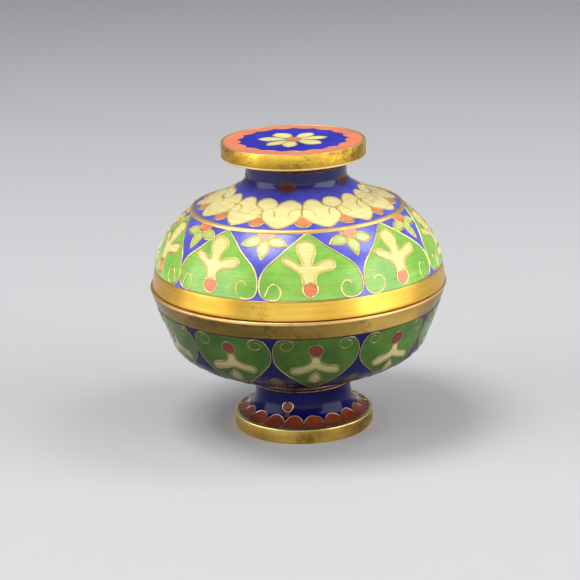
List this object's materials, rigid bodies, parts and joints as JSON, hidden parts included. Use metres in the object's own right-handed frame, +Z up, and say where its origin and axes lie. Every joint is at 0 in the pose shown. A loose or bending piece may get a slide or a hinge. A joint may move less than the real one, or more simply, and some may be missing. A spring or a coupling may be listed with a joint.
{
  "type": "cloisonne lidded urn",
  "caption": "Small footed round box in cloisonne enamel on copper, with a domed lift-off lid, gilt rims and a flat drum knob, for holding small things.",
  "frame": {"origin": "on the bowl's axis, in the plane that the foot ring stands on", "axes": "+Z up along the bowl's axis, -Y towards the side that the lid's widest leaf faces, +X to the right of that side"},
  "size_m": [0.077, 0.077, 0.0762],
  "materials": {
    "gilt": "polished gilt, browned where it is worn",
    "enamel_blue": "glossy ground enamel with pinholes",
    "enamel_green": "glossy ground enamel with pinholes",
    "enamel_cream": "glossy ground enamel",
    "enamel_pale_green": "glossy ground enamel",
    "enamel_coral": "glossy ground enamel",
    "enamel_red": "glossy ground enamel",
    "enamel_lining": "plain counter enamel, slightly pitted"
  },
  "bodies": {
    "root": {"foot_ring": "gilt", "foot": "enamel_blue", "foot_collar": "gilt", "bowl": "enamel_blue", "bowl_band": "gilt", "lid_band": "gilt", "lid": "enamel_blue", "lid_shoulder_wire": "gilt", "knob_drum": "gilt", "knob_plate": "enamel_blue"}
  },
  "joints": []
}
